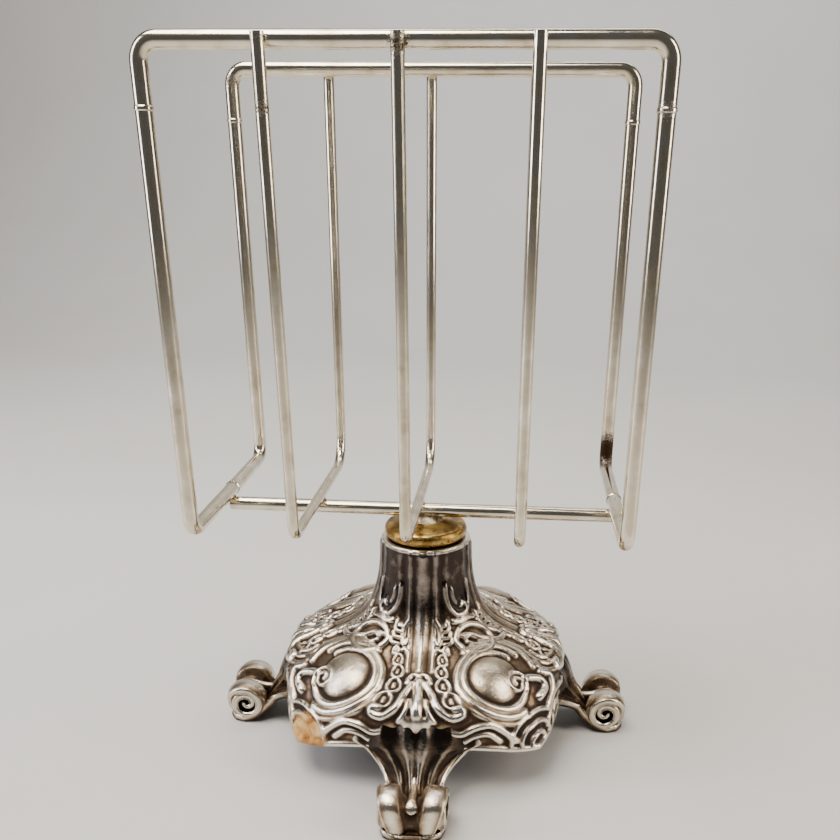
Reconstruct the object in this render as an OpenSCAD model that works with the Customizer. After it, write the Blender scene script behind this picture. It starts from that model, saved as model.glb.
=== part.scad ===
// Table-top brochure rack: a wire pocket that turns on an ornate cast foot.
// Millimetres. Z is up, the front is -Y, the origin is on the floor under the
// foot's axis. The wire pocket's own centre stands a little off that axis.

/* [Wire pocket] */
// Centre to centre width of the two outer wires
pocket_width = 180; // [120:1:260]
// Centre to centre depth of the front and back wires
pocket_depth = 108.6; // [60:0.2:160]
// Height of the top rails' centre above the floor
rail_height = 298.9; // [220:0.1:400]
// Outer rod, rails and crossbar diameter
rod_d = 6.35; // [4:0.05:9]
// Inner wire diameter
wire_d = 4.76; // [3:0.02:7]
// Distance from the centre wire to each other inner wire
wire_pitch = 46.8; // [30:0.2:70]
// Bend radius of the outer rods, on their centre line
bend_r = 7; // [5:0.5:20]
// Bend radius of an inner wire's back corner
back_bend_r = 14; // [6:0.5:30]
// Length of each rail's turned-down end
rail_drop = 20.9; // [12:0.1:40]
// Where the pocket's centre stands along X, off the foot's axis
pocket_shift = -2.8; // [-5:0.1:5]

/* [Swivel] */
// Height of the crossbar's centre above the floor
bar_height = 112.1; // [90:0.1:140]
// Brass cap diameter
cap_d = 38.9; // [30:0.1:50]
// Outside diameter of the threaded pipe
pipe_d = 9.8; // [8:0.1:13]
// Radial clearance of the pipe in the foot
pipe_clearance = 0.06; // [0.02:0.01:0.1]

/* [Foot] */
// Height of the neck's rim
neck_top = 99.3; // [80:0.1:120]
// Radius of the neck at its rim
neck_r = 20.6; // [15:0.1:30]
// Height where the neck runs into the body
shoulder_z = 63.5; // [50:0.5:75]
// Radius where the neck runs into the body
shoulder_r = 27; // [22:0.5:35]
// Radius of the body between its four lobes
body_r = 64.5; // [50:0.5:80]
// Height of the body's lower edge
apron_z = 19; // [12:0.5:30]
// Radius of the lobes' outermost points
lobe_reach = 75; // [66:0.5:90]
// Radius of the scroll feet's tips
foot_reach = 100; // [85:0.5:120]
// Wall of the casting
wall = 3.3; // [2:0.1:6]
// How far the foot is turned against the pocket, in degrees
foot_turn = 2; // [-45:1:45]

/* [Hidden] */
$fn = 48;
half_w = pocket_width / 2;
half_d = pocket_depth / 2;
run_z = bar_height + rod_d;                     // outer runs lie on the crossbar
wire_run_z = bar_height + (rod_d + wire_d) / 2; // inner runs lie on it too
joint_z = rail_height - rail_drop;              // butt joints of the rails
joint_y = 3.7;                                   // butt joints of the runs
wire_out = half_d + (rod_d + wire_d) / 2;       // inner wires lie outside the rails
wire_top = rail_height + 1.8;
cap_z = neck_top + 0.3;
cap_h = bar_height - rod_d / 2 - cap_z;
web_z = neck_top - 11;
web_h = 6.5;
pipe_top = cap_z + 4.6;
pipe_bottom = web_z - 14;
leg_w = 26;
pad_w = 32;
roll_r = 6.8;
roll_w = 9;
roll_at = [foot_reach - 9.5, 11.8];
tongue_w = 7;
lobe_r = 29;

// ---- rods -----------------------------------------------------------------

// A round rod along planar points, with a bend of radius r[i] at each corner.
function unit(v) = v / norm(v);
function turn(p, i) = acos(unit(p[i] - p[i - 1]) * unit(p[i + 1] - p[i]));
function setback(p, r, i) =
    (i == 0 || i == len(p) - 1) ? 0 : r[i - 1] * tan(turn(p, i) / 2);

module bent_rod(p, r, d) {
    for (i = [0 : len(p) - 2]) {
        u = unit(p[i + 1] - p[i]);
        a = p[i] + u * setback(p, r, i);
        b = p[i + 1] - u * setback(p, r, i + 1);
        translate([a.x, a.y, 0]) rotate([90, 0, atan2(u.y, u.x) + 90])
            cylinder(h = norm(b - a), d = d);
    }
    for (i = [1 : len(p) - 2]) {
        u = unit(p[i] - p[i - 1]);
        v = unit(p[i + 1] - p[i]);
        side = sign(u.x * v.y - u.y * v.x);
        start = p[i] - u * setback(p, r, i);
        centre = start + side * r[i - 1] * [-u.y, u.x];
        from = atan2(start.y - centre.y, start.x - centre.x);
        translate([centre.x, centre.y, 0])
            rotate([0, 0, side > 0 ? from : from - turn(p, i)])
            rotate_extrude(angle = turn(p, i)) translate([r[i - 1], 0]) circle(d = d);
    }
}

module in_xz(y) translate([pocket_shift, y, 0]) rotate([90, 0, 0]) children();
module in_yz(x) translate([pocket_shift + x, 0, 0]) rotate([90, 0, 90]) children();

module nickel() color([0.80, 0.76, 0.69]) children();

// An arch: the rail and its two turned-down ends.
module top_rail(y)
    nickel() in_xz(y)
        bent_rod([[-half_w, joint_z], [-half_w, rail_height],
                  [half_w, rail_height], [half_w, joint_z]],
                 [bend_r, bend_r], rod_d);

module front_top_rail() top_rail(-half_d);
module back_top_rail() top_rail(half_d);

// An upright and its half of the run below the pocket.
module upright(x, side)
    nickel() in_yz(x)
        bent_rod([[side * half_d, joint_z], [side * half_d, run_z], [joint_y, run_z]],
                 [bend_r], rod_d);

module front_left_upright() upright(-half_w, -1);
module front_right_upright() upright(half_w, -1);
module back_left_upright() upright(-half_w, 1);
module back_right_upright() upright(half_w, 1);

// Stations along a planar path: straight ends, and arcs of arc_steps at corners.
arc_steps = 9;
ring_sides = 32;
function corner(p, r, i) =
    let (u = unit(p[i] - p[i - 1]), v = unit(p[i + 1] - p[i]),
         side = sign(u.x * v.y - u.y * v.x), n = side * [-u.y, u.x],
         start = p[i] - u * setback(p, r, i), centre = start + r[i - 1] * n)
    [for (k = [0 : arc_steps]) let (a = turn(p, i) * k / arc_steps)
        [centre + r[i - 1] * (sin(a) * u - cos(a) * n), cos(a) * u + sin(a) * n]];
function stations(p, r) = concat(
    [[p[0], unit(p[1] - p[0])]],
    [for (i = [1 : len(p) - 2], s = corner(p, r, i)) s],
    [[p[len(p) - 1], unit(p[len(p) - 1] - p[len(p) - 2])]]);

// A rod swept along the stations as one closed skin.
module swept_rod(p, r, d) {
    s = stations(p, r);
    m = ring_sides;
    polyhedron(
        points = [for (e = s, k = [0 : m - 1])
            let (a = 360 * k / m, n = [-e[1].y, e[1].x])
            [e[0].x + d / 2 * cos(a) * n.x, e[0].y + d / 2 * cos(a) * n.y, d / 2 * sin(a)]],
        faces = concat(
            [[for (k = [0 : m - 1]) k]],
            [[for (k = [m - 1 : -1 : 0]) (len(s) - 1) * m + k]],
            [for (i = [0 : len(s) - 2], k = [0 : m - 1])
                [i * m + k, (i + 1) * m + k, (i + 1) * m + (k + 1) % m, i * m + (k + 1) % m]]));
}

// A U of thinner wire whose ends lie against the outside of both rails.
module inner_wire(x)
    nickel() in_yz(x)
        swept_rod([[-wire_out, wire_top], [-half_d, wire_run_z],
                   [half_d, wire_run_z], [wire_out, wire_top]],
                  [bend_r, back_bend_r], wire_d);

module left_wire() inner_wire(-wire_pitch);
module centre_wire() inner_wire(0);
module right_wire() inner_wire(wire_pitch);

module crossbar()
    nickel() translate([pocket_shift - half_w, 0, bar_height]) rotate([0, 90, 0])
        cylinder(h = pocket_width, d = rod_d);

// ---- welds and solder -----------------------------------------------------

module weld_ring()
    rotate_extrude() polygon([[rod_d / 2, -0.9], [rod_d / 2 + 0.3, -0.5],
                              [rod_d / 2 + 0.3, 0.5], [rod_d / 2, 0.9]]);

module butt_welds()
    color([0.42, 0.36, 0.30])
        for (x = [-half_w, half_w]) translate([pocket_shift + x, 0, 0]) {
            for (y = [-half_d, half_d]) translate([0, y, joint_z]) weld_ring();
            translate([0, joint_y, run_z]) rotate([90, 0, 0]) weld_ring();
        }

module rail_welds()
    color([0.42, 0.36, 0.30])
        for (x = [-wire_pitch, 0, wire_pitch], side = [-1, 1])
            translate([pocket_shift + x, side * (half_d + rod_d / 2), rail_height])
                sphere(r = 2.3);

module crossbar_welds()
    color([0.42, 0.36, 0.30])
        for (x = [-half_w, -wire_pitch, 0, wire_pitch, half_w])
            translate([pocket_shift + x, 0, bar_height + rod_d / 2]) sphere(r = 2.3);

module cap_solder()
    color([0.62, 0.58, 0.50]) translate([0, 0, bar_height - rod_d / 2 - 0.9])
        rotate_extrude() polygon([[0, 0], [9, 0], [7, 0.9], [5, 1.8], [2, 2.4], [0, 2.4]]);

// ---- swivel ---------------------------------------------------------------

// Domed cap with a rolled edge and a blind threaded hole for the pipe.
module brass_cap()
    color([0.62, 0.48, 0.24]) translate([0, 0, cap_z]) difference() {
        rotate_extrude() polygon(concat(
            [[0, 0], [cap_d / 2 - 2.6, 0]],
            [for (a = [-75 : 15 : 75])
                [cap_d / 2 - 3 + 3 * cos(a), 3.3 + 3.3 * sin(a)]],
            [for (t = [0 : 0.2 : 1])
                [(cap_d / 2 - 3.4) * (1 - t), cap_h - (cap_h - 6.6) * pow(1 - t, 2)]]));
        translate([0, 0, -1]) cylinder(h = pipe_top - cap_z + 1, d = pipe_d);
    }

module lamp_pipe()
    color([0.60, 0.60, 0.58]) translate([0, 0, pipe_bottom]) difference() {
        cylinder(h = pipe_top - pipe_bottom, d = pipe_d);
        translate([0, 0, -1]) cylinder(h = pipe_top - pipe_bottom + 2, d = pipe_d - 3.2);
    }

module pipe_washer()
    color([0.60, 0.60, 0.58]) translate([0, 0, web_z - 1.6]) difference() {
        cylinder(h = 1.5, d = 22);
        translate([0, 0, -1]) cylinder(h = 4, d = pipe_d);
    }

module pipe_nut()
    color([0.60, 0.60, 0.58]) translate([0, 0, web_z - 6.6]) difference() {
        cylinder(h = 5, d = 16.2, $fn = 6);
        translate([0, 0, -1]) cylinder(h = 7, d = pipe_d);
    }

// ---- cast foot ------------------------------------------------------------

// Half section of the neck and body, moved inwards and down by t: the neck
// flares, the body is a cubic from the shoulder to its side wall.
function neck_flare(u) = (shoulder_r - neck_r) * pow(u, 3);
function cubic(p, u) = pow(1 - u, 3) * p[0] + 3 * u * pow(1 - u, 2) * p[1]
    + 3 * u * u * (1 - u) * p[2] + pow(u, 3) * p[3];
body_curve = [[shoulder_r, shoulder_z], [shoulder_r + 7, shoulder_z - 14],
              [body_r + 1, shoulder_z - 9], [body_r + 2, shoulder_z - 35]];
function section(t) = concat(
    [for (u = [0 : 0.1 : 1])
        [neck_r - t + neck_flare(u), neck_top - u * (neck_top - shoulder_z)]],
    [for (u = [0.1 : 0.1 : 1]) cubic(body_curve, u) - [t, t]],
    [[body_r - t, apron_z]]);

module lobes(r)
    for (q = [45 : 90 : 315]) rotate([0, 0, q])
        translate([lobe_reach - lobe_r, 0, apron_z - 2]) sphere(r = r);

module body_solid(t)
    union() {
        rotate_extrude($fn = 96) polygon(concat(section(t), [[0, apron_z], [0, neck_top]]));
        intersection() {
            lobes(lobe_r - t);
            translate([0, 0, apron_z]) cylinder(h = 60, r = lobe_reach + 5);
        }
    }

// Half-round rib from the rim down to a leg, standing proud of the section.
module rib()
    intersection() {
        rotate_extrude($fn = 96) polygon(concat(section(-1.2), [[0, apron_z], [0, neck_top]]));
        translate([5, -3.5, apron_z + 6]) cube([body_r + 5, 7, neck_top - apron_z - 7]);
    }

// Side outline of a leg, from inside the shoulder down to the scoop of its foot.
leg_outline = [[55, 45], [66, 46], [70.5, 43], [72.5, 37], [73.2, 29], [75, 21.5],
               [79, 14], [84, 8], [90, 4.6], [foot_reach - 3, 6], [foot_reach - 1, 4],
               [foot_reach - 1, 0], [84, 0], [79, 3], [74, 8.5], [69.5, 15], [66, 22],
               [60.5, 30], [55, 36]];

// A strap that widens into a scoop; each side curls up into a scroll and a
// narrow tongue curls between the two.
module leg() {
    rotate([90, 0, 0]) {
        translate([0, 0, -leg_w / 2]) linear_extrude(leg_w) polygon(leg_outline);
        for (side = [-1, 1])
            translate([roll_at.x, roll_at.y, side * (pad_w - roll_w) / 2 - roll_w / 2])
                cylinder(h = roll_w, r = roll_r);
        translate([roll_at.x + 1, roll_at.y - 3, -tongue_w / 2])
            cylinder(h = tongue_w, r = roll_r - 2);
    }
    intersection() {
        translate([foot_reach - 20, 0, 0]) cylinder(h = 5.5, r = 20);
        translate([80, -pad_w / 2, 0]) cube([40, pad_w, 5.5]);
    }
}

module foot_casting()
    color([0.33, 0.30, 0.27]) rotate([0, 0, foot_turn]) difference() {
        union() {
            body_solid(0);
            for (q = [0 : 90 : 270]) rotate([0, 0, q]) { rib(); leg(); }
        }
        // hollow underneath, up to the web
        intersection() {
            body_solid(wall);
            translate([0, 0, apron_z - 1]) cylinder(h = web_z - apron_z + 1, r = 100);
        }
        translate([0, 0, apron_z - 1]) cylinder(h = 1.5, r = body_r - wall - 3);
        // recess under the cap and the pipe's bore
        translate([0, 0, web_z + web_h]) cylinder(h = 20, r = neck_r - wall);
        translate([0, 0, web_z - 1]) cylinder(h = web_h + 2, d = pipe_d + 2 * pipe_clearance);
    }

foot_casting();
brass_cap();
lamp_pipe();
pipe_washer();
pipe_nut();
cap_solder();
crossbar();
front_top_rail();
back_top_rail();
front_left_upright();
front_right_upright();
back_left_upright();
back_right_upright();
left_wire();
centre_wire();
right_wire();
butt_welds();
rail_welds();
crossbar_welds();
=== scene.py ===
"""A table-top brochure rack: a nickelled wire pocket on an antique cast foot.

The rods, crossbar and swivel pieces are the CAD nodes with real finishes. The
casting is modelled here with its full relief: a ribbed neck, a body with four
polished bosses framed by scrolls and beads, and four scroll feet.
"""
import math
from functools import partial

import bpy
import numpy as np
from mathutils import Matrix, Vector


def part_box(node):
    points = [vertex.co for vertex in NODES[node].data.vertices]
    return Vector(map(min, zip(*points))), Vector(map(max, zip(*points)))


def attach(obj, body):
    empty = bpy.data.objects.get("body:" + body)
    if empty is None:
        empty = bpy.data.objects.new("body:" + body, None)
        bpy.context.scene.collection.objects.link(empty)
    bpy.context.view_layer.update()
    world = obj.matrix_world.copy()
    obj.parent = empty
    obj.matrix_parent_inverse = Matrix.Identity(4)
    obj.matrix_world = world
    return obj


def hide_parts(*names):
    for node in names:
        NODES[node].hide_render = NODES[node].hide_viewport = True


MM = 0.001
FRONT = -90.0          # azimuth of the foot's front leg before its turn, degrees

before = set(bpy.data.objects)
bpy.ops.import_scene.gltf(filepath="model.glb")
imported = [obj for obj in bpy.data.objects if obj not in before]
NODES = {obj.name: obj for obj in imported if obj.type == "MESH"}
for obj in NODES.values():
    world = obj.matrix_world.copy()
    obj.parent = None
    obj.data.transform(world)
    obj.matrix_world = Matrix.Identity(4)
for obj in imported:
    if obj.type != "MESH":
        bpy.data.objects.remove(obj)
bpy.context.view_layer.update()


def node_mm(name):
    """Lowest and highest corner of a CAD node, in millimetres."""
    low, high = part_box(name)
    return np.array(low) / MM, np.array(high) / MM


# ---------------------------------------------------------------- colours, nodes

def hex_rgba(code):
    """An sRGB hex colour as linear RGBA."""
    def linear(c):
        return c / 12.92 if c <= 0.04045 else ((c + 0.055) / 1.055) ** 2.4
    return tuple(linear(int(code[i:i + 2], 16) / 255) for i in (0, 2, 4)) + (1.0,)


def grey(value):
    """A plain number as the colour that carries it."""
    return (value, value, value, 1.0)


def feed(tree, node, feeds):
    """Gives a node's inputs, by name or number, another node's output, a hex
    colour or a value."""
    for key, source in feeds.items():
        if isinstance(source, bpy.types.NodeSocket):
            tree.links.new(source, node.inputs[key])
        else:
            node.inputs[key].default_value = hex_rgba(source) if isinstance(source, str) else source


def add(tree, kind, feeds, out=0, stops=(), ease=False, **settings):
    """Adds a node with its settings and links, and returns one of its outputs.
    stops are a colour ramp's (position, hex or number) pairs."""
    node = tree.nodes.new(kind)
    for key, value in settings.items():
        setattr(node, key, value)
    feed(tree, node, feeds)
    for i, (position, tone) in enumerate(stops):
        bar = node.color_ramp
        bar.interpolation = "EASE" if ease else "LINEAR"
        stop = bar.elements[i] if i < 2 else bar.elements.new(position)
        stop.position = position
        stop.color = hex_rgba(tone) if isinstance(tone, str) else grey(tone)
    return node.outputs[out]


def per_mm(size):
    """The noise scale that makes blotches about size mm across."""
    return 1 / (size * MM)


def metres(point):
    return tuple(float(c) * MM for c in point)


def start(name):
    """A material, its shader, its one way to add nodes, and the noise inputs
    that its patterns share."""
    mat = bpy.data.materials.new(name)
    mat.use_nodes = True
    tree = mat.node_tree
    node = partial(add, tree)
    noise = {"Vector": node("ShaderNodeTexCoord", {}, out="Object"), "Detail": 4.0, "Roughness": 0.55}
    return mat, tree.nodes["Principled BSDF"], node, noise


# ---------------------------------------------------------------- materials

def nickel_plate(marks):
    """Old nickel plate on drawn steel rod: warm bright metal, dulled in soft
    blotches, pitted here and there, and brown where the welds burnt it. marks
    are (point in mm, radius in mm) of each burnt place."""
    mat, shader, node, noise = start("aged_nickel_plate")
    cloud = node("ShaderNodeTexNoise", {**noise, "Scale": per_mm(9.0)})
    speck = node("ShaderNodeTexNoise", {**noise, "Scale": per_mm(0.7), "Detail": 2.0})
    pitting = node("ShaderNodeTexNoise",
                   {**noise, "Scale": per_mm(1.5), "Detail": 6.0, "Roughness": 0.7})
    skin = node("ShaderNodeTexNoise", {**noise, "Scale": per_mm(0.8), "Detail": 2.0})
    # how near each place is to a burnt one, made ragged by the specks
    burn = 0.0
    for point, radius in marks:
        far = node("ShaderNodeVectorMath", {0: noise["Vector"], 1: metres(point)},
                   out="Value", operation="DISTANCE")
        far = node("ShaderNodeMath", {0: far, 1: radius * MM}, operation="DIVIDE")
        near = node("ShaderNodeMath", {0: 1.0, 1: far}, operation="SUBTRACT", use_clamp=True)
        burn = node("ShaderNodeMath", {0: burn, 1: near}, operation="MAXIMUM")
    ragged = node("ShaderNodeMath", {0: speck, 1: 1.1, 2: burn}, operation="MULTIPLY_ADD")
    ragged = node("ShaderNodeMath", {0: ragged, 1: 0.55}, operation="SUBTRACT")
    heated = node("ShaderNodeMath", {0: burn, 1: 0.02}, operation="GREATER_THAN")
    ragged = node("ShaderNodeMath", {0: ragged, 1: heated}, operation="MULTIPLY", use_clamp=True)
    scorch = node("ShaderNodeValToRGB", {0: ragged}, stops=[(0.30, 0.0), (0.62, 1.0)])
    pits = node("ShaderNodeValToRGB", {0: pitting}, stops=[(0.66, 0.0), (0.72, 0.7)])
    tone = node("ShaderNodeValToRGB", {0: cloud}, ease=True,
                stops=[(0.30, "C6BBA2"), (0.5, "DCD2BC"), (0.72, "EDE6D6")])
    tone = node("ShaderNodeMix", {0: pits, 6: tone, 7: "7E6A4C"}, out=2, data_type="RGBA")
    tone = node("ShaderNodeMix", {0: scorch, 6: tone, 7: "3A2A1E"}, out=2, data_type="RGBA")
    gloss = node("ShaderNodeValToRGB", {0: cloud}, stops=[(0.3, 0.22), (0.7, 0.11)])
    gloss = node("ShaderNodeMix", {0: scorch, 6: gloss, 7: grey(0.62)}, out=2, data_type="RGBA")
    normal = node("ShaderNodeBump", {"Height": skin, "Distance": 0.004 * MM})
    normal = node("ShaderNodeBump", {"Height": scorch, "Distance": 0.03 * MM, "Normal": normal})
    feed(mat.node_tree, shader,
         {"Base Color": tone, "Metallic": 1.0, "Roughness": gloss, "Normal": normal})
    return mat


def polished_brass():
    """Tarnished polished brass: gold bronze with brown bloom and fine rubs."""
    mat, shader, node, noise = start("tarnished_brass")
    cloud = node("ShaderNodeTexNoise", {**noise, "Scale": per_mm(7.0)})
    spotting = node("ShaderNodeTexNoise", {**noise, "Scale": per_mm(2.2), "Detail": 5.0})
    rubs = node("ShaderNodeTexNoise", {**noise, "Scale": per_mm(0.6)})
    spots = node("ShaderNodeValToRGB", {0: spotting}, stops=[(0.60, 0.0), (0.67, 0.85)])
    tone = node("ShaderNodeValToRGB", {0: cloud}, ease=True,
                stops=[(0.30, "5A4220"), (0.48, "8E7038"), (0.62, "B99A58"), (0.8, "9A7A40")])
    tone = node("ShaderNodeMix", {0: spots, 6: tone, 7: "4A3018"}, out=2, data_type="RGBA")
    gloss = node("ShaderNodeValToRGB", {0: cloud}, stops=[(0.3, 0.42), (0.7, 0.2)])
    normal = node("ShaderNodeBump", {"Height": rubs, "Distance": 0.02 * MM})
    normal = node("ShaderNodeBump", {"Height": cloud, "Distance": 0.05 * MM, "Normal": normal})
    feed(mat.node_tree, shader,
         {"Base Color": tone, "Metallic": 1.0, "Roughness": gloss, "Normal": normal})
    return mat


def zinc_steel():
    """Zinc-plated steel of the pipe, washer and nut: grey, softly spangled."""
    mat, shader, node, noise = start("zinc_plated_steel")
    cloud = node("ShaderNodeTexNoise", {**noise, "Scale": per_mm(3.0)})
    fine = node("ShaderNodeTexNoise", {**noise, "Scale": per_mm(0.4)})
    tone = node("ShaderNodeValToRGB", {0: cloud}, stops=[(0.3, "8C8D8A"), (0.7, "B4B6B2")])
    gloss = node("ShaderNodeValToRGB", {0: cloud}, stops=[(0.3, 0.5), (0.7, 0.34)])
    normal = node("ShaderNodeBump", {"Height": fine, "Distance": 0.02 * MM})
    feed(mat.node_tree, shader,
         {"Base Color": tone, "Metallic": 1.0, "Roughness": gloss, "Normal": normal})
    return mat


def tin_solder():
    """Hand-laid tin solder: pale, lumpy, browned by flux in its hollows."""
    mat, shader, node, noise = start("tin_solder")
    lumps = node("ShaderNodeTexNoise", {**noise, "Scale": per_mm(2.4)})
    fine = node("ShaderNodeTexNoise", {**noise, "Scale": per_mm(0.6)})
    tone = node("ShaderNodeValToRGB", {0: lumps},
                stops=[(0.36, "6B4F2C"), (0.5, "B9A98A"), (0.7, "D8D0C0")])
    normal = node("ShaderNodeBump", {"Height": lumps, "Distance": 0.4 * MM})
    normal = node("ShaderNodeBump", {"Height": fine, "Distance": 0.05 * MM, "Normal": normal})
    feed(mat.node_tree, shader,
         {"Base Color": tone, "Metallic": 1.0, "Roughness": 0.32, "Normal": normal})
    return mat


def scorched_weld():
    """Resistance-weld bead: oxidised steel, brown-black with rusty pores."""
    mat, shader, node, noise = start("scorched_weld")
    cloud = node("ShaderNodeTexNoise", {**noise, "Scale": per_mm(1.4)})
    tone = node("ShaderNodeValToRGB", {0: cloud},
                stops=[(0.34, "2A1D15"), (0.5, "6A543C"), (0.68, "A3957D")])
    gloss = node("ShaderNodeValToRGB", {0: cloud}, stops=[(0.3, 0.7), (0.7, 0.4)])
    normal = node("ShaderNodeBump", {"Height": cloud, "Distance": 0.25 * MM})
    feed(mat.node_tree, shader,
         {"Base Color": tone, "Metallic": 0.8, "Roughness": gloss, "Normal": normal})
    return mat


def antique_casting(patch, patch_radius):
    """Antique silvered casting: the plate worn bright on the high relief and
    gone brown-black in the hollows, with powdery tarnish between. The mesh
    carries how worn each place is, with painted shade in the creases beside
    the ridges and towards the bosses' rims, in "relief", and how much of it
    keeps a dark polish in "plain". patch is where the plate has flaked to ochre, in mm."""
    mat, shader, node, noise = start("antique_silvered_casting")
    relief = node("ShaderNodeAttribute", {}, out="Fac", attribute_name="relief")
    plain = node("ShaderNodeAttribute", {}, out="Fac", attribute_name="plain")
    cloud = node("ShaderNodeTexNoise", {**noise, "Scale": per_mm(6.0), "Detail": 6.0})
    dust = node("ShaderNodeTexNoise", {**noise, "Scale": per_mm(0.8), "Detail": 5.0, "Roughness": 0.7})
    swell = node("ShaderNodeTexNoise", {**noise, "Scale": per_mm(2.5)})
    # wear and painted shade: the relief attribute, with its painted shade in creases and at the
    # bosses' rims, made patchy by tarnish noise
    wear_and_shade = node("ShaderNodeMath", {0: cloud, 1: 0.5, 2: relief}, operation="MULTIPLY_ADD")
    wear_and_shade = node("ShaderNodeMath", {0: dust, 1: 0.25, 2: wear_and_shade}, operation="MULTIPLY_ADD")
    wear_and_shade = node("ShaderNodeMath", {0: wear_and_shade, 1: 0.375}, operation="SUBTRACT", use_clamp=True)
    tone = node("ShaderNodeValToRGB", {0: wear_and_shade}, stops=[
        (0.10, "20150E"), (0.28, "4A3829"), (0.44, "98846C"), (0.62, "D2C5B0"), (0.85, "F5ECDD")])
    # the neck and leg fronts keep a dark gunmetal polish
    dark = node("ShaderNodeValToRGB", {0: wear_and_shade}, stops=[
        (0.2, "1A1411"), (0.45, "362D28"), (0.72, "948A80"), (0.9, "E6DFD5")])
    tone = node("ShaderNodeMix", {0: plain, 6: tone, 7: dark}, out=2, data_type="RGBA")
    far = node("ShaderNodeVectorMath", {0: noise["Vector"], 1: metres(patch)},
               out="Value", operation="DISTANCE")
    far = node("ShaderNodeMath", {0: far, 1: patch_radius * MM}, operation="DIVIDE")
    far = node("ShaderNodeMath", {0: dust, 1: 0.7, 2: far}, operation="MULTIPLY_ADD")
    far = node("ShaderNodeMath", {0: far, 1: 0.35}, operation="SUBTRACT")
    flake = node("ShaderNodeValToRGB", {0: far}, stops=[(0.74, 1.0), (0.92, 0.0)])
    ochre = node("ShaderNodeValToRGB", {0: cloud}, stops=[
        (0.32, "8A5626"), (0.46, "C08A48"), (0.6, "D0A868"), (0.75, "DCC79C")])
    tone = node("ShaderNodeMix", {0: flake, 6: tone, 7: ochre}, out=2, data_type="RGBA")
    metal = node("ShaderNodeMix", {0: flake, 6: grey(1.0), 7: grey(0.1)}, out=2, data_type="RGBA")
    hollow = node("ShaderNodeValToRGB", {0: wear_and_shade}, stops=[(0.12, 0.55), (0.45, 1.0)])
    metal = node("ShaderNodeMix", {0: 1.0, 6: metal, 7: hollow}, out=2,
                 data_type="RGBA", blend_type="MULTIPLY")
    gloss = node("ShaderNodeValToRGB", {0: wear_and_shade}, stops=[(0.1, 0.55), (0.4, 0.32), (0.8, 0.20)])
    gloss = node("ShaderNodeMix", {0: plain, 6: gloss, 7: grey(0.12)}, out=2, data_type="RGBA")
    gloss = node("ShaderNodeMix", {0: flake, 6: gloss, 7: grey(0.85)}, out=2, data_type="RGBA")
    normal = node("ShaderNodeBump", {"Height": dust, "Distance": 0.10 * MM})
    normal = node("ShaderNodeBump", {"Height": swell, "Distance": 0.18 * MM, "Normal": normal})
    feed(mat.node_tree, shader,
         {"Base Color": tone, "Metallic": metal, "Roughness": gloss, "Normal": normal})
    return mat


# ---------------------------------------------------------------- the casting

FOOT_TURN = 2.0                               # degrees, as the CAD foot stands
FOOT_REACH = 99.5                             # mm, how far out a foot may stand
NECK_TOP = float(node_mm("foot_casting")[1][2])
NECK_R, SHOULDER_R, SHOULDER_Z = 20.5, 27.0, 63.5
WALL = 2.6                                    # mm, thickness of the casting

# Half sections of the body over a leg and at a tip, as (r, z) at even steps of
# s from 0.8 on the neck, through the lower edge at 2.0, to a phantom past it.
OVER_LEG = np.array([(23.8, 70.7), (SHOULDER_R, SHOULDER_Z), (33, 56.5), (42.5, 51),
                     (54, 46.5), (65.5, 41), (65, 21), (62, 5)])
OVER_TIP = np.array([(23.8, 70.7), (SHOULDER_R, SHOULDER_Z), (34, 57.5), (44, 53),
                     (57, 47), (69, 34.5), (77.5, 18.0), (84, 2)])
STEP = 0.2                                    # of s, between those places


def smooth_through(p, x):
    """Catmull-Rom through the rows of p; x counts rows from the second."""
    i = np.clip(x.astype(int), 0, len(p) - 4)
    t = (x - i)[..., None]
    p0, p1, p2, p3 = p[i], p[i + 1], p[i + 2], p[i + 3]
    return 0.5 * (2 * p1 + (p2 - p0) * t + (2 * p0 - 5 * p1 + 4 * p2 - p3) * t ** 2
                  + (3 * p1 - p0 - 3 * p2 + p3) * t ** 3)


def body_point(a, s):
    """Base surface of neck and body. a is degrees from the front leg, s runs
    0 to 1 down the neck and 1 to 2 over the body to its lower edge."""
    a, s = np.broadcast_arrays(np.asarray(a, float), np.asarray(s, float))
    u = np.clip(s, 0, 1)
    neck_r = NECK_R + (SHOULDER_R - NECK_R) * u ** 3
    neck_z = NECK_TOP - (NECK_TOP - SHOULDER_Z) * u
    x = (np.maximum(s, 1.0) - 1.0) / STEP
    low = np.clip((s - 1.6) / 0.4, 0, 1)          # 1 at the lower edge
    lobe = np.abs(np.sin(np.radians(2 * a)))      # 0 over a leg, 1 at a tip
    cusp = (1 - np.abs(np.abs((a + 90) % 180 - 90) - 45) / 45) ** 1.5   # sharp at a tip
    share = ((1 - low) * lobe ** 1.5 + low * cusp)[..., None]
    body = smooth_through(OVER_LEG, x) * (1 - share) + smooth_through(OVER_TIP, x) * share
    arch = 12 * lobe ** 1.5 * (1 - lobe ** 1.5) * low
    r = np.where(s <= 1, neck_r, body[..., 0])
    z = np.where(s <= 1, neck_z, body[..., 1] + arch)
    rad = np.radians(a)
    return np.stack([r * np.cos(rad), r * np.sin(rad), z], axis=-1)


def carried_on(points):
    """The rows of points, with one more at each end in line with the last two."""
    p = np.array(points, float)
    return np.vstack([2 * p[0] - p[1], p, 2 * p[-1] - p[-2]])


def curve(points, count=160):
    """A smooth curve through (a, s) places, as points on the base surface."""
    spans = len(points) - 1
    each = max(4, count // spans)
    line = smooth_through(carried_on(points), np.arange(spans * each + 1) / each)
    return body_point(line[:, 0], line[:, 1])


# Millimetres on the surface for a degree of a and a unit of s, near s = 1.6
MM_A, MM_S = 0.97, 76.0


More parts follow.
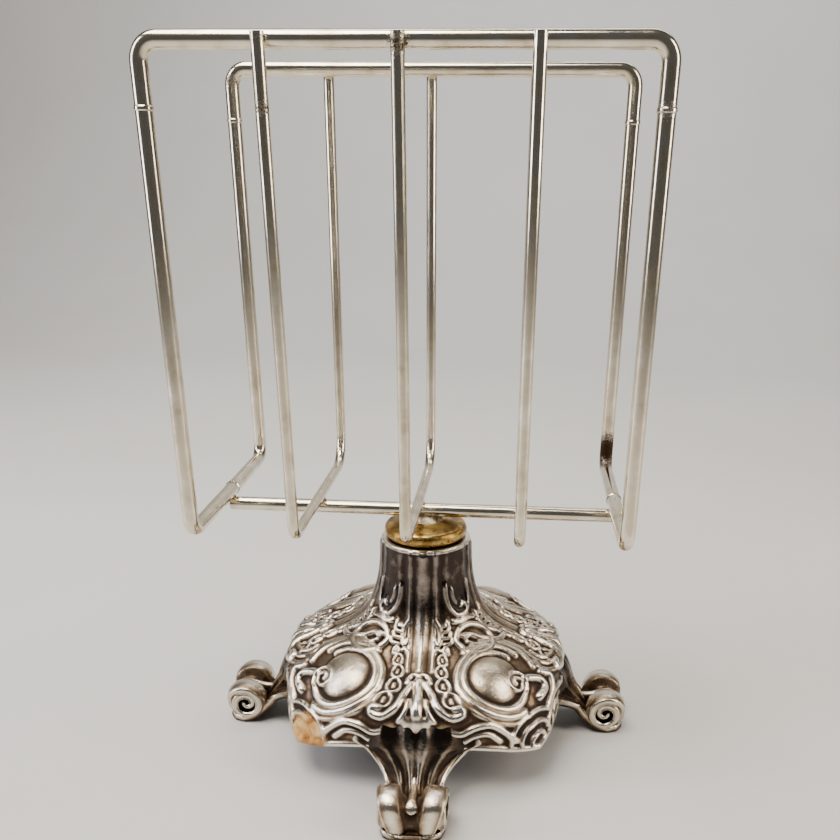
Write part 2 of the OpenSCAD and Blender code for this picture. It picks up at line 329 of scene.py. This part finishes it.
def round_line(centre, radius, part=(0, 360), opening=0.0, towards=0.0, long=1.0, count=160):
    """A ring of that radius in mm on the surface, or part of it, which opens
    outwards by some mm in one direction. 0 degrees is away from the leg, and
    long stretches the ring down the body."""
    q = np.radians(np.linspace(part[0], part[1], count))
    r = radius + opening * np.clip(np.cos(q - math.radians(towards)), 0, 1) ** 2
    return body_point(centre[0] + r * np.cos(q) / MM_A, centre[1] + long * r * np.sin(q) / MM_S)


def spiral(centre, radius, turns, begin, hand):
    """A volute of that outer radius in mm, that winds in from an angle."""
    t = np.linspace(0, 1, 200)
    q = np.radians(begin) + hand * 2 * math.pi * turns * t
    inner = 0.5
    r = (radius - inner) * (1 - t) ** 0.85 + inner
    return body_point(centre[0] + r * np.cos(q) / MM_A, centre[1] + r * np.sin(q) / MM_S)


def spacing(surface, line):
    """Distance of each surface point to a curve, in millimetres."""
    out = np.full(len(surface), 1e9)
    for block in range(0, len(line), 40):
        d = np.linalg.norm(surface[:, None, :] - line[None, block:block + 40, :], axis=2)
        out = np.minimum(out, d.min(axis=1))
    return out


def ridge(d, width, height):
    """Half-round ridge over distance d."""
    return height * np.sqrt(np.clip(1 - (d / (width / 2)) ** 2, 0, 1))


BOSS = (37.5, 1.58)      # centre of a quarter's boss, (a, s)
BOSS_R = 12.6            # mm


def quarter_relief(base):
    """Relief height in mm over a quarter's base surface, from the front or back
    leg's axis (a = 0) to a side leg's (a = 90)."""
    flat = base.reshape(-1, 3)
    h = np.zeros(len(flat))

    def ridges(line, width, height):
        nonlocal h
        foot_width = 1.7 * width            # a cast ridge spreads where it meets the ground
        h = np.maximum(h, ridge(spacing(flat, line), foot_width, height))

    def both(points, width, height):
        ridges(curve(points), width, height)
        ridges(curve([(90 - x, y) for x, y in points]), width, height)

    # the boss, a smooth dome, and the rings that open out on its far side
    d = np.linalg.norm(flat - body_point(*BOSS), axis=1)
    boss = 3.3 * np.sqrt(np.clip(1 - (d / BOSS_R) ** 2, 0, 1))
    ridges(round_line(BOSS, 14.6, (25, 335), 1.5, 320), 2.3, 1.7)
    ridges(round_line(BOSS, 17.9, (70, 345), 4.0, 320), 2.3, 1.7)
    ridges(round_line(BOSS, 21.2, (250, 372), 4.6, 330), 2.1, 1.5)
    ridges(round_line(BOSS, 24.2, (290, 385), 4.0, 350), 1.8, 1.3)
    ridges(round_line(BOSS, 20.9, (85, 160), 0.0, 0), 1.7, 1.1)
    ridges(round_line(BOSS, 27.0, (300, 352), 3.0, 350), 1.7, 1.2)
    # arcs that fill the far corner beside the side leg
    for inset in (0, 3.4, 6.8):
        ridges(round_line((80, 1.60), 16.5 - inset, (70, 190)), 1.7, 1.4)
    # volute on the boss's far lower shoulder, with its tail and the acanthus
    ridges(spiral((45.5, 1.655), 5.4, 1.8, 60, -1), 0.9, 3.6)
    ridges(curve([(50.4, 1.655), (54.5, 1.675), (58.5, 1.72), (58.5, 1.775), (53.5, 1.79)]), 2.4, 2.5)
    for radius in (3.6, 7.4, 11.2):          # nested arches over the tip
        ridges(round_line((46.5, 1.975), radius, (185, 355), count=80), 1.4, 1.8)
    ridges(curve([(62, 1.70), (65, 1.76), (62, 1.83), (56, 1.86)]), 2.2, 2.0)
    # looped knot between the boss and the neck
    ridges(curve([(31, 1.27), (29, 1.17), (36, 1.07), (48, 1.05), (58, 1.12), (60, 1.24),
                  (52, 1.35), (40, 1.37), (33, 1.32)]), 2.1, 1.9)
    ridges(curve([(34, 1.14), (43, 1.16), (50, 1.24), (61, 1.33), (70, 1.34)]), 1.9, 2.0)
    ridges(curve([(37, 1.22), (42, 1.28), (50, 1.31), (56, 1.28)]), 1.6, 1.6)
    ridges(spiral((38.5, 1.16), 3.2, 1.2, 120, 1), 1.0, 2.0)
    # ear scrolls on the neck's foot, and small leaves beside the rib
    both([(28, 0.50), (28.5, 0.66), (32, 0.80), (38, 0.89), (43, 0.91)], 1.7, 1.3)
    ridges(curve([(43, 0.91), (50, 0.90), (54, 0.83), (50, 0.77), (46, 0.80)]), 1.7, 1.4)
    ridges(curve([(36.5, 0.56), (37, 0.66), (40, 0.75)]), 1.5, 1.0)
    for y in (0.97, 1.035, 1.10, 1.165):
        both([(26.5, y - 0.015), (24, y + 0.025), (18.5, y + 0.03)], 1.5, 1.6)
    both([(13.5, 0.93), (17.0, 1.02), (16.5, 1.12), (13.5, 1.19), (11.8, 1.14)], 1.9, 1.5)
    both([(9.5, 1.26), (12.5, 1.235), (15.0, 1.255)], 1.6, 1.2)
    ridges(curve([(33, 0.97), (42, 0.985), (52, 0.975), (58, 0.99)]), 1.9, 1.4)
    ridges(curve([(62, 1.06), (64, 1.16), (69, 1.24), (75, 1.26)]), 1.9, 1.6)
    # ringed beads along both sides of each rib
    for x, y, wide in ((18.5, 1.265, 2.1), (14.6, 1.35, 2.7), (12.4, 1.455, 2.9),
                       (11.9, 1.575, 3.1), (14.2, 1.70, 3.3)):
        for c in ((x, y), (90 - x, y)):
            ridges(round_line(c, wide, long=1.4, count=60), 0.8, 1.6)
            ridges(curve([(c[0], y - 0.016), (c[0], y), (c[0], y + 0.016)], 24), 1.0, 1.2)
    # leaf curling out over each leg, and the scroll arcs of the lower edge
    both([(3.4, 1.56), (6.0, 1.65), (8.0, 1.75), (12.5, 1.815), (17, 1.80), (17.4, 1.76),
          (14.8, 1.765)], 2.3, 2.6)
    both([(5.6, 1.545), (5.0, 1.505), (2.8, 1.478), (0, 1.492)], 1.8, 2.2)
    both([(3.6, 1.70), (4.4, 1.78), (6.6, 1.84)], 1.6, 2.0)
    ridges(curve([(0, 1.54), (0, 1.66), (0, 1.80)]), 3.4, 2.7)
    ridges(curve([(90, 1.54), (90, 1.66), (90, 1.80)]), 3.4, 2.7)
    both([(13, 1.90), (17, 1.905), (22, 1.87), (28, 1.855), (33, 1.89), (37, 1.94)], 2.0, 1.8)
    both([(18, 1.95), (22, 1.915), (27, 1.905), (31, 1.94)], 1.6, 1.3)
    both([(11, 1.975), (20, 1.982), (30, 1.982), (38, 1.985), (45, 1.985)], 1.8, 1.3)
    h = np.maximum(h, boss)
    return h.reshape(base.shape[:2])


def rib_relief(a, s, base):
    """Soft rib and its fillets down the neck over each leg, the bead at the
    neck's top, and the lobes at the leaf's end. Heights and widths are in mm."""
    off = np.minimum(a, 90 - a)
    r = np.hypot(base[..., 0], base[..., 1])
    x = r * np.sin(np.radians(np.clip(off, 0, 40)))
    end = np.clip((1.47 - s) / 0.03, 0, 1)
    main = 1.5 * np.exp(-(x / 2.4) ** 2) * end
    side = 1.0 * np.exp(-((x - 5.6) / 1.3) ** 2) * end
    line = 0.5 * np.exp(-((x - 10.5) / 1.2) ** 2) * np.clip((0.9 - s) / 0.3, 0, 1)
    # the ribs die out under a thin bead at the neck's top
    fade = np.clip((s - 0.02) / 0.05, 0, 1)
    rim = 0.55 * np.exp(-((s - 0.012) / 0.022) ** 2)
    main, side, line = (part * fade for part in (main, side, line))
    knob = ridge(np.hypot(x - 4.0, (s - 1.845) * 60), 5.6, 2.4)
    tip = ridge(np.hypot(x, (s - 1.855) * 50), 6.4, 3.0)
    return np.maximum.reduce([main, side, line, knob, tip, rim])


def make_mesh(name, points, faces):
    """A smooth-shaded object from points in millimetres."""
    mesh = bpy.data.meshes.new(name)
    mesh.from_pydata([tuple(c * MM for c in p) for p in points], [], faces)
    mesh.validate()
    mesh.update()
    mesh.polygons.foreach_set("use_smooth", [True] * len(mesh.polygons))
    obj = bpy.data.objects.new(name, mesh)
    bpy.context.scene.collection.objects.link(obj)
    return obj


def paint(obj, **layers):
    """Stores one number a vertex under each name, for the material to read."""
    for name, values in layers.items():
        layer = obj.data.attributes.new(name, "FLOAT", "POINT")
        layer.data.foreach_set("value", np.asarray(values, np.float32))


def grid_faces(rows, columns):
    """Quads of a grid of points, closed round its columns."""
    out = []
    for i in range(rows - 1):
        for j in range(columns):
            k = (j + 1) % columns
            out.append((i * columns + j, i * columns + k,
                        (i + 1) * columns + k, (i + 1) * columns + j))
    return out


def blur(field, times=1):
    """Softens a field closed round its columns, as the mould's draft does."""
    for _ in range(times):
        field = (2 * field + np.roll(field, 1, 1) + np.roll(field, -1, 1)) / 4
        middle = field.copy()
        middle[1:-1] = (2 * field[1:-1] + field[:-2] + field[2:]) / 4
        field = middle
    return field


def turned(points, further=0):
    """Points of the foot turned to where the casting stands, and some further
    degrees for a leg that isn't the front one."""
    q = math.radians(FRONT + FOOT_TURN + further)
    c, w = math.cos(q), math.sin(q)
    p = np.asarray(points, float)
    return np.stack([p[..., 0] * c - p[..., 1] * w, p[..., 0] * w + p[..., 1] * c, p[..., 2]], -1)


def casting_body():
    """Neck and body: outer skin with its relief, rim, lower edge and inside."""
    quarter, rows_neck, rows_body = ((150, 50, 170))
    columns = 4 * quarter
    a = np.arange(columns) * 360.0 / columns
    s = np.concatenate([np.linspace(0, 1, rows_neck, endpoint=False), np.linspace(1, 2, rows_body)])
    # each quarter mirrors its neighbour: fold every angle into 0 to 90
    folded = np.abs(((a + 90) % 180) - 90)
    index = np.rint(folded / 90 * quarter).astype(int)
    one_a, one_s = np.meshgrid(np.linspace(0, 90, quarter + 1), s)
    one_base = body_point(one_a, one_s)
    h = np.maximum(quarter_relief(one_base), rib_relief(one_a, one_s, one_base))
    h = blur(h[:, index])
    base = body_point(a[None, :], s[:, None])
    du = np.roll(base, -1, 1) - np.roll(base, 1, 1)
    dv = np.gradient(base, axis=0)
    normal = np.cross(dv, du)
    normal /= np.linalg.norm(normal, axis=2, keepdims=True)
    if normal[5, 0, 0] < 0:             # relief stands outwards
        normal = -normal
    outer = base + normal * h[..., None]
    lip_r = np.hypot(outer[0, :, 0], outer[0, :, 1])
    # from the recess wall at the top, over the thin bright lip turned in
    rings, heights = [], []
    for inset, drop in ((3.4, 4.3), (3.2, 0.6), (2.4, 0.0), (0.9, 0.0)):
        k = (lip_r - inset) / lip_r
        rings.append(np.stack([outer[0, :, 0] * k, outer[0, :, 1] * k,
                               np.full(columns, NECK_TOP - drop)], -1))
        heights.append(np.full(columns, 0.9 if drop < 1 else 0.0))
    first = outer.copy()
    first[0, :, 2] = NECK_TOP - 0.7
    # inner skin back up from the lower edge to under the web
    inner = (base - normal * WALL)[::-4]     # it has no relief, so a quarter of the rows
    inner = inner[inner[:, 0, 2] < NECK_TOP - 12]
    inner[0, :, 2] = outer[-1, :, 2] - 0.2
    lower = (outer[-1] + inner[0]) / 2
    lower[:, 2] = outer[-1, :, 2] - 0.7
    # the web across the neck, with the pipe's hole through it
    hole_r, web_top, web_under = 6.0, NECK_TOP - 4.3, NECK_TOP - 11
    hub = np.stack([hole_r * np.cos(np.radians(a)), hole_r * np.sin(np.radians(a)),
                    np.full(columns, web_under)], -1)
    hub_top = hub.copy()
    hub_top[:, 2] = web_top
    skin = np.concatenate([[hub_top], np.array(rings), first, [lower], inner, [hub]])
    rows = len(skin)
    faces = grid_faces(rows, columns)
    faces += [((rows - 1) * columns + j, (rows - 1) * columns + (j + 1) % columns,
               (j + 1) % columns, j) for j in range(columns)]
    # high places are rubbed bright; the creases beside them are darkened with painted shade
    rub_and_crease_shade = np.clip(h - blur(h, 14), -0.8, 0.9)
    worn = 0.42 + 0.11 * np.clip(h, 0, 3) + 0.62 * rub_and_crease_shade
    # the bosses are browned by tarnish towards their rims, and the darkening deepens to each rim as
    # painted shade round the dome, leaving its top bright
    away = np.linalg.norm(one_base - body_point(*BOSS), axis=2)[:, index]
    worn -= np.where(away < BOSS_R, 0.10 + 0.14 * (away / BOSS_R) ** 2, 0)
    worn[:3] = 0.85
    worn[-3:] = 0.9
    tone = np.concatenate([[np.zeros(columns)], np.array(heights), worn,
                           [np.full(columns, 0.8)], np.full((len(inner), columns), 0.12),
                           [np.zeros(columns)]])
    n0 = 1 + len(rings)                 # the row where the outer skin begins
    plain = np.zeros_like(tone)
    plain[n0:n0 + len(s)] = np.clip((1.02 - s[:, None]) / 0.25, 0, 1)
    obj = make_mesh("casting_body", turned(skin).reshape(-1, 3), faces)
    paint(obj, relief=np.clip(tone, 0, 1).ravel(), plain=plain.ravel())
    return obj


def side_path(points, roll=None, turns=1.4, end_r=1.3):
    """A leg's (r, z) path through points, carried on as a spiral round roll."""
    spans = len(points) - 1
    line = smooth_through(carried_on(points), np.linspace(0, spans - 0.001, 9 * spans))
    if roll is not None:
        last = line[-1] - np.array(roll)
        begin, r0 = math.atan2(last[1], last[0]), np.linalg.norm(last)
        t = np.linspace(0, 1, 64)[1:]
        q, r = begin + 2 * math.pi * turns * t, r0 * (1 - t) ** 0.8 + end_r * t
        line = np.vstack([line, np.array(roll) + np.stack([r * np.cos(q), r * np.sin(q)], -1)])
    return line


def strap(line, half, thick, lift, sink, across):
    """A closed strap along a side path, with its points, its faces, its relief
    and the places across and along them. half and thick run along it, lift is
    the relief of its face and sink how far both its skins move to the face's
    side, each over (across, along). across is how many points it is wide."""
    n = len(line)
    tangent = np.gradient(line, axis=0)
    tangent /= np.linalg.norm(tangent, axis=1, keepdims=True)
    up = np.stack([-tangent[:, 1], tangent[:, 0]], -1)
    w = np.linspace(-1, 1, across)
    t = np.linspace(0, 1, n)
    half, thick = (np.interp(t, *zip(*stops))[:, None] for stops in (half, thick))
    height = lift(w[None, :], t[:, None]) * np.ones((n, across))
    sunk = sink(w[None, :], t[:, None]) * np.ones((n, across))
    skins = []
    for level in (height + sunk, sunk - thick):
        skins.append(np.stack([line[:, 0:1] + up[:, 0:1] * level,
                               w[None, :] * half * np.ones((n, 1)),
                               line[:, 1:2] + up[:, 1:2] * level], -1))
    shell = np.concatenate([skins[0], skins[1][:, ::-1]], axis=1)
    shell[..., 2] = np.maximum(shell[..., 2], 0.0)
    shell[..., 0] = np.minimum(shell[..., 0], FOOT_REACH)
    m = 2 * across
    faces = grid_faces(n, m)
    faces.append(tuple(range(m)))
    faces.append(tuple(reversed(range((n - 1) * m, n * m))))
    return shell, faces, height, w, t


def bead(x, at, wide):
    """A soft bump of height 1 at x = at."""
    return np.exp(-((x - at) / wide) ** 2)


def casting_leg(index):
    """One leg of the casting: a fluted strap that leaves the body wall under the
    leaf, narrows, and spreads into a scoop on the table with a rounded front
    rim. A two-lobed scroll rolls up over the scoop, with a tongue between."""
    main = side_path([(61, 42), (65.2, 37.4), (68.8, 32.6), (71.2, 27), (73.2, 21), (76.6, 14.4),
                      (81.4, 8.4), (87, 4.0), (93, 2.3), (97.2, 2.5), (99.0, 3.6)])
    roll = side_path([(93.6, 3.4), (94.6, 3.7), (95.5, 4.3)], (90.2, 10.8), 2.1, 0.5)
    tongue = side_path([(76, 15.5), (79.5, 14.0), (84, 14.4), (88.8, 15.8), (92.6, 16.4),
                        (95.4, 15.0), (96.4, 12.9)])

    def flutes(w, t):
        x = np.abs(w)
        body = 1.5 * bead(x, 0.92, 0.10) - 1.0 * bead(x, 0.72, 0.15) + 0.7 * bead(x, 0.50, 0.08)
        body = body - 1.1 * bead(x, 0.32, 0.12) + 1.2 * bead(x, 0.14, 0.07) - 0.5 * bead(x, 0, 0.05)
        crown = 2.4 * (1 - x ** 2.2) - 1.0
        low = np.clip((t - 0.56) / 0.14, 0, 1)
        scoop = 1.5 * bead(x, 0.96, 0.10) - 0.5
        return (body + crown) * (1 - low) + scoop * low * np.clip((0.97 - t) / 0.1, 0, 1)

    def wings(w, t):
        return -8.0 * np.abs(w) ** 2.0 * np.clip((0.50 - t) / 0.16, 0, 1)

    def valley(w, t):
        x = np.abs(w)
        on = np.clip((t - 0.18) / 0.12, 0, 1)
        lobes = 2.2 * np.sqrt(np.clip(1 - ((x - 0.64) / 0.37) ** 2, 0, 1))
        return on * (3.6 * np.clip(1 - (x / 0.36) ** 2, 0, 1) ** 0.7 + 1.6 - lobes)

    def pillow(w, t):
        return 1.5 * np.sqrt(np.clip(1 - w ** 2, 0, 1)) - 0.4

    def level(w, t):
        return 0.0

    # each with how worn its face and its back are
    pieces = [
        (strap(main, [(0, 30), (0.28, 29.5), (0.32, 25.5), (0.37, 21), (0.42, 16.8),
                      (0.47, 14.0), (0.52, 12.6), (0.60, 12.4), (0.68, 13.8), (0.78, 14.0),
                      (0.87, 12.2), (0.94, 8.6), (1, 4.0)],
               [(0, 4.0), (0.4, 3.0), (1, 2.0)], flutes, wings, 61),
         lambda w, t, h: (0.33 + 0.16 * h - 0.10 * (t < 0.3) + 0.34 * (np.abs(w) > 0.88)
                          + 0.2 * np.clip((t - 0.7) / 0.1, 0, 1)),
         lambda w, t: 0.16),
        (strap(roll, [(0, 7.0), (0.22, 9.4), (0.27, 12.2), (0.33, 14.8), (0.42, 15.5),
                      (0.6, 14.6), (1, 13.4)],
               [(0, 2.2), (0.3, 2.6), (0.6, 2.7), (1, 2.0)], level, valley, 61),
         lambda w, t, h: 0.22 + 0.5 * (np.abs(w) > 0.97),
         lambda w, t: 0.24 + 0.50 * bead(np.abs(w), 0.66, 0.26) + 0.3 * (np.abs(w) > 0.94)),
        (strap(tongue, [(0, 1.6), (0.6, 1.9), (0.8, 3.0), (0.92, 3.2), (1, 1.6)],
               [(0, 2.0), (1, 1.8)], pillow, level, 17),
         lambda w, t, h: 0.40 + 0.22 * h,
         lambda w, t: 0.3)]

    points, faces, tones, plain = [], [], [], []
    for k, ((shell, part_faces, height, w, t), face_tone, back_tone) in enumerate(pieces):
        first = sum(len(p) for p in points)
        faces += [tuple(first + v for v in f) for f in part_faces]
        points.append(shell.reshape(-1, 3))
        across, along = w[None, :], t[:, None]
        even = np.ones(height.shape)
        tones.append(np.concatenate([face_tone(across, along, height) * even,
                                     (back_tone(across, along) * even)[:, ::-1]], 1).ravel())
        # the leg's front keeps some of the neck's dark polish
        dark = np.interp(t, [0, 0.2, 0.32, 0.5, 0.62, 1], [0.9, 1.0, 0.8, 0.55, 0.1, 0])[:, None]
        dark = dark * np.clip(1.15 - np.abs(across) ** 2, 0, 1) * (k == 0)
        plain.append(np.concatenate([dark * even, 0 * even], 1).ravel())
    obj = make_mesh(f"scroll_leg_{index + 1}", turned(np.concatenate(points), 90 * index), faces)
    paint(obj, relief=np.clip(np.concatenate(tones), 0, 1), plain=np.concatenate(plain))
    return obj


# ---------------------------------------------------------------- floor, light, camera

def floor():
    """A plain pale floor that curves up into a plain wall far behind."""
    mat, shader, node, noise = start("pale_floor")
    shade = node("ShaderNodeTexNoise", {**noise, "Scale": per_mm(300.0)})
    tone = node("ShaderNodeValToRGB", {0: shade}, stops=[(0.3, "CFCDC9"), (0.7, "D6D4D0")])
    feed(mat.node_tree, shader, {"Base Color": tone, "Roughness": 0.55})
    sweep = [(-3.0, 0.0), (0.9, 0.0)]
    sweep += [(0.9 + 0.8 * math.sin(q), 0.8 - 0.8 * math.cos(q))
              for q in (math.pi / 2 * k / 24 for k in range(1, 25))]
    sweep.append((1.7, 4.0))
    points = [(x, y, z) for y, z in sweep for x in (-5.0, 5.0)]
    faces = [(2 * i, 2 * i + 1, 2 * i + 3, 2 * i + 2) for i in range(len(sweep) - 1)]
    mesh = bpy.data.meshes.new("floor")
    mesh.from_pydata(points, [], faces)
    mesh.polygons.foreach_set("use_smooth", [True] * len(faces))
    obj = bpy.data.objects.new("floor", mesh)
    bpy.context.scene.collection.objects.link(obj)
    mesh.materials.append(mat)


def softbox(name, place, aim, size, watts, tint):
    """A rectangular soft light at place, facing aim, all in metres."""
    lamp = bpy.data.lights.new(name, "AREA")
    lamp.shape, lamp.size, lamp.size_y = "RECTANGLE", size[0], size[1]
    lamp.energy, lamp.color = watts, hex_rgba(tint)[:3]
    obj = bpy.data.objects.new(name, lamp)
    bpy.context.scene.collection.objects.link(obj)
    obj.location = place
    obj.rotation_euler = (Vector(aim) - Vector(place)).to_track_quat("-Z", "Y").to_euler()


def studio():
    """Soft boxes on both sides and above leave the middle of each rod dark."""
    softbox("key_above", (-0.30, -0.20, 1.15), (0, 0.05, 0.1), (0.8, 0.5), 17, "FFF7EC")
    softbox("side_left", (-0.95, -0.25, 0.56), (0, 0, 0.20), (0.30, 0.90), 9, "F6F6FF")
    softbox("side_right", (0.95, -0.20, 0.58), (0, 0, 0.20), (0.26, 0.90), 8, "FFF3E6")
    softbox("back_wash", (0.2, 0.75, 1.5), (0, 1.4, 0.5), (1.6, 0.5), 16, "FFFFFF")
    world = bpy.data.worlds.new("studio_air")
    world.use_nodes = True
    feed(world.node_tree, world.node_tree.nodes["Background"], {"Color": "9A9A9E", "Strength": 0.30})
    bpy.context.scene.world = world


def camera():
    """A portrait lens standing 0.4 m off and 0.26 m up, looking down 24 degrees."""
    lens = bpy.data.cameras.new("camera")
    obj = bpy.data.objects.new("camera", lens)
    bpy.context.scene.collection.objects.link(obj)
    lens.sensor_width = 36.0
    lens.lens = 39.06
    lens.shift_x, lens.shift_y = -0.0334, 0.1667
    obj.location = (0.0407, -0.3992, 0.2620)
    yaw, pitch, roll = -0.075, 0.413, 0.008
    obj.rotation_euler = (Matrix.Rotation(-yaw, 4, "Z") @ Matrix.Rotation(math.pi / 2 - pitch, 4, "X")
                          @ Matrix.Rotation(roll, 4, "Z")).to_euler()
    bpy.context.scene.camera = obj


# ---------------------------------------------------------------- putting it together

def rod_marks():
    """Where heat and damp marked the rods, in millimetres."""
    rail = node_mm("front_top_rail")
    back = node_mm("back_top_rail")
    left, right = rail[0][0] + 3.2, rail[1][0] - 3.2
    middle = (left + right) / 2
    front_y, back_y = (rail[0][1] + rail[1][1]) / 2, (back[0][1] + back[1][1]) / 2
    notch, top = rail[0][2], rail[1][2]
    pitch = 46.8                              # between inner wires
    marks = [((middle, front_y - 5, top - 5), 6.5), ((middle - pitch, front_y - 5, notch), 4.5),
             ((middle - pitch, front_y - 5, top - 3), 4.0),
             ((middle + pitch, front_y - 5, top - 3), 3.5),
             ((right, front_y, notch), 5.5), ((left, front_y, notch), 3.0),
             ((left, back_y, top - 8), 6.0), ((right, back_y, notch), 3.0),
             ((right, back_y - 3, 128), 14.0), ((left, 3, 120), 4.0)]
    marks += [((middle + k * pitch, back_y + 4, top - 3), 4.0) for k in (-1, 0, 1)]
    return marks


def dress(name, mat):
    """Gives a CAD node's object its finish."""
    slots = NODES[name].data.materials
    if not slots:
        slots.append(mat)
    for i in range(len(slots)):
        slots[i] = mat


RODS = [n for n in NODES if n.endswith(("rail", "upright", "wire", "crossbar"))]
nickel = nickel_plate(rod_marks())
for name in RODS + ["butt_welds"]:            # the butt joints were plated over
    dress(name, nickel)
dress("brass_cap", polished_brass())
dress("cap_solder", tin_solder())
steel = zinc_steel()
for name in ("lamp_pipe", "pipe_washer", "pipe_nut"):
    dress(name, steel)
weld = scorched_weld()
for name in ("rail_welds", "crossbar_welds"):
    dress(name, weld)

left_tip = turned(body_point(-43, 1.99))
silver = antique_casting(left_tip, 15.0)
foot = [casting_body()] + [casting_leg(i) for i in range(4)]
for piece in foot:
    piece.data.materials.append(silver)
    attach(piece, "foot")
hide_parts("foot_casting")

floor()
studio()
camera()
